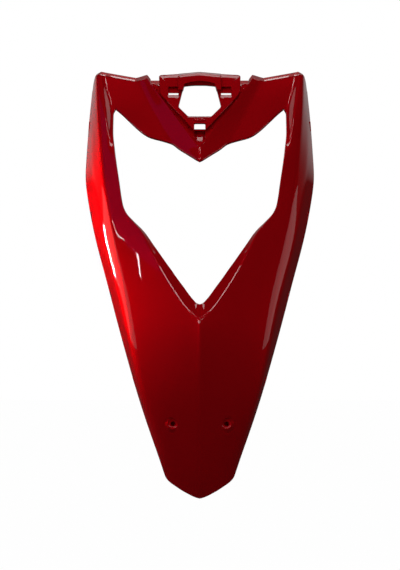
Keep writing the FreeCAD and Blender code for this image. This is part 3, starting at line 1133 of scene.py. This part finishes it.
    def add_bump(self, data: MeshData) -> None:
        """Add the smooth swelling between the hexagon and the clip window.

        Args:
            data: Mesh to add to.
        """
        rows, columns = self.bump_steps
        turn = np.linspace(0, 2 * np.pi, columns)
        y = bay_depth(self.island_level, self.bump_height)
        rings = []
        for up in np.linspace(-math.pi / 2, math.pi / 2, rows):
            wide, deep = self.bump_half * math.cos(up), self.bump_deep * math.cos(up)
            z = np.full(columns, self.bump_height + self.bump_tall * math.sin(up))
            rings.append(np.stack([wide * np.cos(turn), y + deep * np.sin(turn), z], axis=-1))
        data.grid(np.array(rings), False)

    def rib_tree(self, material: bpy.types.Material) -> bpy.types.NodeTree:
        """Geometry nodes that stand a snap rib on every point.

        Args:
            material: Finish of the ribs.

        Returns:
            The node group with the rib's width and height as inputs.
        """
        tree = bpy.data.node_groups.new("snap_ribs", "GeometryNodeTree")
        for name, way, kind in (("Geometry", "INPUT", "Geometry"), ("Rib Width", "INPUT", "Float"),
                                ("Rib Height", "INPUT", "Float"), ("Geometry", "OUTPUT", "Geometry")):
            tree.interface.new_socket(name, in_out=way, socket_type="NodeSocket" + kind)
        graph = Graph(tree)
        given = graph.node("NodeGroupInput", {}, {})
        size = graph.node("ShaderNodeCombineXYZ", {}, {"X": given.outputs["Rib Width"],
                                                       "Y": given.outputs["Rib Height"],
                                                       "Z": given.outputs["Rib Width"]})
        ball = graph.node("GeometryNodeMeshIcoSphere", {}, {"Radius": 0.5, "Subdivisions": 3})
        stood = graph.node("GeometryNodeInstanceOnPoints", {}, {"Points": given.outputs["Geometry"],
                                                               "Instance": ball.outputs["Mesh"],
                                                               "Scale": size.outputs["Vector"]})
        plain = graph.node("GeometryNodeRealizeInstances", {}, {"Geometry": stood.outputs["Instances"]})
        dressed = graph.node("GeometryNodeSetMaterial", {}, {"Geometry": plain.outputs["Geometry"],
                                                            "Material": material})
        graph.node("NodeGroupOutput", {}, {"Geometry": dressed.outputs["Geometry"]})
        return tree

    def build_ribs(self, material: bpy.types.Material) -> bpy.types.Object:
        """Stand the snap ribs in the groove.

        Args:
            material: Finish of the ribs.

        Returns:
            The ribs as one plain mesh.
        """
        seats = MeshData()
        for x, z in self.ribs:
            for side in SIDES:
                seats.add((side * x, bay_depth(self.floor_level - self.rib_lift, z), z))
        piece = seats.to_object("snap_ribs", self.sharp)
        modifier = piece.modifiers.new("ribs", "NODES")
        modifier.node_group = self.rib_tree(material)
        sizes = {"Rib Width": self.rib_width * MM, "Rib Height": self.rib_height * 2 * MM}
        for item in modifier.node_group.interface.items_tree:
            if item.name in sizes:
                modifier[item.identifier] = sizes[item.name]
        graph = bpy.context.evaluated_depsgraph_get()
        mesh = bpy.data.meshes.new_from_object(piece.evaluated_get(graph))
        mesh.shade_smooth()
        piece.modifiers.remove(modifier)
        piece.data = mesh
        return piece

    def build(self, material: bpy.types.Material) -> list[bpy.types.Object]:
        """Build the plates and the ribs of the bay.

        Args:
            material: Finish of the bay.

        Returns:
            The pieces, dressed.
        """
        data = MeshData()
        for plate in self.plates():
            plate.add_to(data)
        self.add_bump(data)
        self.add_ramp(data)
        plates = data.to_object("bay_plates", self.sharp)
        plates.data.materials.append(material)
        return [plates, self.build_ribs(material)]


@dataclass
class RearFittings:
    """Tongues on the rear edge, sleeves behind the screw holes and the lamp's screw bosses, in millimetres.

    The bosses have (x, z, y) places.
    """

    form: ShellForm
    tongue_heights: tuple[float, ...] = (60, 190, 320, 470)
    tongue_thick: float = 2.2
    tongue_wide: float = 16.0
    tongue_long: float = 11.0
    tongue_root: float = 5.0
    tongue_inset: float = 0.4
    tongue_corner: float = 0.5
    tongue_bevel: float = 0.3
    bosses: Knots = ((139, 352, 75), (106, 300, 50))
    boss_radius: float = 5.5
    boss_length: float = 22.0
    pilot_radius: float = 1.9
    sleeve_radius: float = 5.5
    sleeve_deep: float = 14.0
    sleeve_bore: float = 3.55
    sleeve_sink: float = 0.5
    sleeve_bevel: float = 0.1
    end_lean: float = 0.6
    end_wall: float = 1.5
    end_inset: float = 0.2
    sharp: float = 34.0

    def add_tongue(self, data: MeshData, side: int, z: float) -> None:
        """Add a tongue that leans with the rear edge.

        Args:
            data: Mesh to add to.
            side: 1 for the right, -1 for the left.
            z: Height of its middle.
        """
        across, depth = self.form.lines[Line.REAR]
        half, outer = self.tongue_wide / 2, float(across(z)) - self.tongue_inset
        lean = float(across(z + half)) - float(across(z))
        inner = outer - self.tongue_thick
        corners = [(inner - lean, z - half), (outer - lean, z - half), (outer + lean, z + half),
                   (inner + lean, z + half)]
        outline = rounded([(side * x, height, self.tongue_corner) for x, height in corners[::side]])
        Plate(outline, float(depth(z)) - self.tongue_root, self.tongue_long + self.tongue_root, lean=0,
              bevel=self.tongue_bevel).add_to(data)

    def add_sleeve(self, data: MeshData, side: int) -> None:
        """Add the blind sleeve behind one screw hole.

        Args:
            data: Mesh to add to.
            side: 1 for the right, -1 for the left.
        """
        across, start = side * SCREW_HALF_PITCH, WALL - self.sleeve_sink
        Plate(disc(across, 0, self.sleeve_radius), start, self.sleeve_deep,
              [disc(across, 0, self.sleeve_bore)], lean=0, bevel=self.sleeve_bevel).add_to(data)
        end = start + self.sleeve_deep - self.sleeve_radius * self.end_lean
        Plate(disc(across, 0, self.sleeve_radius - self.end_inset), end, self.end_wall, lean=self.end_lean,
              foot=0, bevel=self.sleeve_bevel).add_to(data)

    def add_boss(self, data: MeshData, x: float, z: float, y: float) -> None:
        """Add a hollow screw boss that starts in the shell's wall.

        Args:
            data: Mesh to add to.
            x: Place across.
            z: Height.
            y: Depth from which its length counts.
        """
        rings = []
        for radius in (self.boss_radius, self.pilot_radius):
            loop = disc(x, z, radius)
            front = self.form.depth(loop[:, 0], loop[:, 1]) + WALL / 2
            ends = [np.stack([loop[:, 0], at, loop[:, 1]], axis=-1)
                    for at in (front, np.full(len(loop), y + self.boss_length))]
            rings = ends if not rings else rings + ends[::-1] + rings[:1]
        data.join_rings(rings, True)

    def build(self, material: bpy.types.Material) -> bpy.types.Object:
        """Build all fittings.

        Args:
            material: Finish of the fittings.

        Returns:
            The fittings as one dressed piece.
        """
        data = MeshData()
        for z in self.tongue_heights:
            for side in SIDES:
                self.add_tongue(data, side, z)
        for side in SIDES:
            self.add_sleeve(data, side)
        for x, z, y in self.bosses:
            for side in SIDES:
                self.add_boss(data, side * x, z, y)
        piece = data.to_object("rear_fittings", self.sharp)
        piece.data.materials.append(material)
        return piece


class Value:
    """A node output on which Python's operators build Math nodes."""

    def __init__(self, graph: "Graph", socket: bpy.types.NodeSocket) -> None:
        """Wrap an output of a graph."""
        self.graph = graph
        self.socket = socket

    def join(self, operation: str, first: "Operand", second: "Operand") -> "Value":
        """A Math node on two operands."""
        node = self.graph.node("ShaderNodeMath", {"operation": operation}, {0: first, 1: second})
        return Value(self.graph, node.outputs[0])

    def __add__(self, other: "Operand") -> "Value":
        """This plus another."""
        return self.join("ADD", self, other)

    def __radd__(self, other: "Operand") -> "Value":
        """Another plus this."""
        return self.join("ADD", other, self)

    def __sub__(self, other: "Operand") -> "Value":
        """This less another."""
        return self.join("SUBTRACT", self, other)

    def __rsub__(self, other: "Operand") -> "Value":
        """Another less this."""
        return self.join("SUBTRACT", other, self)

    def __mul__(self, other: "Operand") -> "Value":
        """This times another."""
        return self.join("MULTIPLY", self, other)

    def __rmul__(self, other: "Operand") -> "Value":
        """Another times this."""
        return self.join("MULTIPLY", other, self)


Operand = Union[Value, bpy.types.NodeSocket, float]


class Graph:
    """The nodes of one tree."""

    def __init__(self, tree: bpy.types.NodeTree) -> None:
        """Hold a tree and clear it."""
        self.tree = tree
        tree.nodes.clear()

    def node(self, kind: str, settings: dict, inputs: dict) -> bpy.types.Node:
        """Add a node.

        Args:
            kind: Type of the node.
            settings: Its settings.
            inputs: Values or links of its sockets, by name or number.

        Returns:
            The node.
        """
        node = self.tree.nodes.new(kind)
        for name, setting in settings.items():
            setattr(node, name, setting)
        for name, given in inputs.items():
            given = given.socket if isinstance(given, Value) else given
            if isinstance(given, bpy.types.NodeSocket):
                self.tree.links.new(given, node.inputs[name])
            else:
                node.inputs[name].default_value = given
        return node

    def value(self, kind: str, settings: dict, inputs: dict, output: Union[str, int] = 0) -> Value:
        """Add a node and wrap one of its outputs."""
        return Value(self, self.node(kind, settings, inputs).outputs[output])


def new_material(name: str) -> tuple[bpy.types.Material, Graph]:
    """Start a material.

    Args:
        name: Name of the material.

    Returns:
        The material and its empty graph.
    """
    material = bpy.data.materials.new(name)
    material.use_nodes = True
    return material, Graph(material.node_tree)


def seen_plainly(graph: Graph) -> Value:
    """1 for what the camera sees, directly or through something clear, and 0 otherwise."""
    path = graph.node("ShaderNodeLightPath", {}, {})
    return Value(graph, path.outputs["Is Camera Ray"]) + path.outputs["Is Transmission Ray"]


@dataclass(frozen=True)
class CandyPaint:
    """Deep red paint with fine flakes under a clear coat."""

    name: str = "candy_red"
    deep: tuple[float, float, float] = (0.34, 0.0002, 0.002)
    bright: tuple[float, float, float] = (0.50, 0.0004, 0.006)
    edge: tuple[float, float, float] = (1.0, 0.02, 0.04)
    metallic: float = 0.5
    roughness: float = 0.42
    coat_roughness: float = 0.02
    coat_ior: float = 1.34
    flake_scale: float = 2400.0
    flake_share: float = 0.5
    flake_roughness: float = 0.06
    drift: tuple[float, float] = (9.0, 2.0)
    wave: tuple[float, float] = (14.0, 1.0)
    wave_strength: float = 0.25
    wave_height: float = 0.0012

    def material(self) -> bpy.types.Material:
        """Mix the paint.

        Returns:
            The paint as a material.
        """
        material, graph = new_material(self.name)
        place = graph.node("ShaderNodeTexCoord", {}, {}).outputs["Object"]
        flakes = graph.value("ShaderNodeTexVoronoi", {}, {"Vector": place, "Scale": self.flake_scale},
                             "Color")
        sparkle = graph.value("ShaderNodeSeparateColor", {}, {0: flakes})
        drift, peel = (graph.value("ShaderNodeTexNoise", {},
                                   {"Vector": place, "Scale": scale, "Detail": detail})
                       for scale, detail in (self.drift, self.wave))
        tone = sparkle * self.flake_share + drift * (1 - self.flake_share)
        colour = graph.node("ShaderNodeMix", {"data_type": "RGBA"},
                            {0: tone, 6: (*self.deep, 1), 7: (*self.bright, 1)})
        bump = graph.node("ShaderNodeBump", {}, {"Height": peel, "Strength": self.wave_strength,
                                                 "Distance": self.wave_height})
        shader = graph.node("ShaderNodeBsdfPrincipled", {}, {
            "Base Color": colour.outputs[2], "Metallic": self.metallic,
            "Roughness": self.roughness + sparkle * self.flake_roughness,
            "Coat Weight": 1.0, "Coat Roughness": self.coat_roughness, "Coat IOR": self.coat_ior,
            "Specular IOR Level": 0.0, "Specular Tint": (*self.edge, 1), "Normal": bump.outputs[0]})
        graph.node("ShaderNodeOutputMaterial", {}, {"Surface": shader.outputs[0]})
        return material


@dataclass(frozen=True)
class StudioWhite:
    """Plain white of the floor, which shows dim in the paint."""

    name: str = "studio_white"
    colour: tuple[float, float, float] = (0.5, 0.5, 0.5)
    glow_share: float = 0.99
    paint_glow: float = 0.02

    def material(self) -> bpy.types.Material:
        """Mix the white.

        Returns:
            A material that the camera sees white, the paint sees dim and the lamps light as a matt grey.
        """
        material, graph = new_material(self.name)
        glow, dim = (graph.node("ShaderNodeEmission", {}, {"Color": (1, 1, 1, 1), "Strength": strength})
                     for strength in (1.0, self.paint_glow))
        matt = graph.node("ShaderNodeBsdfDiffuse", {}, {"Color": (*self.colour, 1)})
        glossy = graph.node("ShaderNodeLightPath", {}, {}).outputs["Is Glossy Ray"]
        toned = graph.node("ShaderNodeMixShader", {}, {0: glossy, 1: matt.outputs[0], 2: dim.outputs[0]})
        mixed = graph.node("ShaderNodeMixShader", {}, {0: seen_plainly(graph) * self.glow_share,
                                                       1: toned.outputs[0], 2: glow.outputs[0]})
        graph.node("ShaderNodeOutputMaterial", {}, {"Surface": mixed.outputs[0]})
        return material


@dataclass(frozen=True)
class Softbox:
    """A soft studio lamp, in metres and watts."""

    name: str
    place: tuple[float, float, float]
    aim: tuple[float, float, float]
    size: tuple[float, float]
    power: float
    along: tuple[float, float, float] = (0, 0, 1)
    tint: tuple[float, float, float] = (1, 1, 1)
    spread: float = 180

    def build(self) -> None:
        """Hang the lamp in the scene."""
        lamp = bpy.data.lights.new(self.name, "AREA")
        lamp.shape = "RECTANGLE"
        lamp.size, lamp.size_y = self.size
        lamp.energy, lamp.color, lamp.spread = self.power, self.tint, math.radians(self.spread)
        held = bpy.data.objects.new(self.name, lamp)
        held.location = self.place
        back = (Vector(self.place) - Vector(self.aim)).normalized()
        across = Vector(self.along).cross(back).normalized()
        held.rotation_euler = Matrix((across, back.cross(across), back)).transposed().to_euler()
        bpy.context.scene.collection.objects.link(held)


@dataclass
class Studio:
    """Camera, lamps, white floor and white air, in metres."""

    camera_place: tuple[float, float, float] = (0.0, -1.956, 0.21044)
    lens: float = 81.49
    shift: float = 0.0004
    floor_height: float = -0.124
    floor_half: float = 1.6
    floor_front: float = -0.9
    floor_back: float = 1.8
    dusk: float = 0.02
    glow: float = 0.34
    glow_from_back: tuple[float, float] = (0.2, 0.7)
    glow_from_low: tuple[float, float] = (0.07, 0.14)
    lamps: tuple[Softbox, ...] = (
        Softbox("key", (-0.9, -1.6, 0.3), (0, 0, 0.15), (0.35, 0.35), 5.4),
        Softbox("high_key", (-1.1, -1.6, 1.3), (0, 0, 0.3), (0.4, 0.4), 1.6),
        Softbox("fill", (1.1, -1.65, 0.55), (0, 0, 0.2), (0.4, 0.4), 3.0),
        Softbox("front_bar", (0, -2.4, 0.19), (0, 0, 0.16), (1.4, 0.12), 2.5),
        Softbox("lip_left", (-0.42, -1.28, 1.7), (-0.05, 0, 0.2), (0.3, 0.3), 2.8),
        Softbox("lip_right", (0.42, -1.28, 1.7), (0.05, 0, 0.2), (0.3, 0.3), 2.8),
        Softbox("overhead_back", (0, 0.85, 1.8), (0, 0.1, 0.5), (1.6, 0.7), 0.35),
        Softbox("overhead_spot", (0, 0.85, 1.8), (0, 0.05, 0.44), (0.3, 0.3), 1.2),
        Softbox("overhead_strip", (0, -0.22, 1.9), (0, 0, 0.2), (0.34, 0.12), 0.9),
        Softbox("side_left", (-1.4, 0.5, 0.3), (-0.165, 0.1, 0.28), (0.014, 0.2), 1.1, spread=34),
        Softbox("wall_left", (-1.6, 0.05, 0.25), (0, 0.05, 0.3), (0.9, 0.7), 2.1),
        Softbox("wall_right", (1.6, 0.05, 0.25), (0, 0.05, 0.3), (0.9, 0.7), 2.2),
        Softbox("sheen_left", (-1.2, -0.72, 1.12), (-0.1, 0.04, 0.35), (0.5, 0.8), 0.5,
                tint=(0.75, 0.04, 0.7)),
        Softbox("streak_left", (-1.39, -0.6, 0.675), (-0.093, 0.02, 0.24), (0.006, 0.16), 0.15,
                (-0.06, 0.04, -0.15)),
        Softbox("high_left", (-1.0, 0.1, 1.48), (0.15, 0.11, 0.51), (0.5, 0.5), 1.3),
        Softbox("high_right", (0.99, 0.1, 1.48), (-0.15, 0.11, 0.51), (0.5, 0.5), 1.7))

    def build_floor(self) -> bpy.types.Object:
        """Lay the plain white floor.

        Returns:
            The floor.
        """
        mesh = bpy.data.meshes.new("floor")
        half, front, back = self.floor_half, self.floor_front, self.floor_back
        corners = [(x, y, self.floor_height)
                   for x, y in ((-half, front), (half, front), (half, back), (-half, back))]
        mesh.from_pydata(corners, [], [(0, 1, 2, 3)])
        mesh.materials.append(StudioWhite().material())
        floor = bpy.data.objects.new("floor", mesh)
        bpy.context.scene.collection.objects.link(floor)
        return floor

    def build_air(self) -> bpy.types.World:
        """Fill the studio with air, white to the camera and a pale glow high up behind to the paint.

        Returns:
            The world.
        """
        world = bpy.data.worlds.new("studio_air")
        world.use_nodes = True
        graph = Graph(world.node_tree)
        course = graph.node("ShaderNodeTexCoord", {}, {}).outputs["Generated"]
        parts = graph.node("ShaderNodeSeparateXYZ", {}, {0: course})
        back, up = (graph.value("ShaderNodeMapRange", {}, {0: parts.outputs[axis], 1: start, 2: full})
                    for axis, (start, full) in (("Y", self.glow_from_back), ("Z", self.glow_from_low)))
        seen = seen_plainly(graph)
        strength = seen + (1 - seen) * (back * up * self.glow + self.dusk)
        air = graph.node("ShaderNodeBackground", {}, {"Color": (1, 1, 1, 1), "Strength": strength})
        graph.node("ShaderNodeOutputWorld", {}, {"Surface": air.outputs[0]})
        return world

    def build(self) -> None:
        """Set up the view, the air, the lamps and the floor."""
        scene = bpy.context.scene
        scene.view_settings.view_transform = "Standard"
        camera = bpy.data.cameras.new("camera")
        camera.lens = self.lens
        camera.shift_x = self.shift
        stand = bpy.data.objects.new("camera", camera)
        stand.location = self.camera_place
        stand.rotation_euler = (math.pi / 2, 0, 0)
        scene.collection.objects.link(stand)
        scene.camera = stand
        scene.world = self.build_air()
        for lamp in self.lamps:
            lamp.build()
        self.build_floor()


def hand_over(piece: bpy.types.Object) -> None:
    """Give a finished piece to the frame.

    Args:
        piece: The piece, dressed.
    """
    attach(piece, "root")
    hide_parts("headlight_fairing")
    LOG.info("%s: %d faces", piece.name, len(piece.data.polygons))


def main() -> None:
    """Build the fairing and the studio."""
    logging.basicConfig(level=logging.INFO)
    form = ShellForm()
    paint = CandyPaint().material()
    for piece in [ShellSkin(form).build(paint), *Bay().build(paint), RearFittings(form).build(paint)]:
        hand_over(piece)
    Studio().build()


if __name__ == "__main__":
    main()
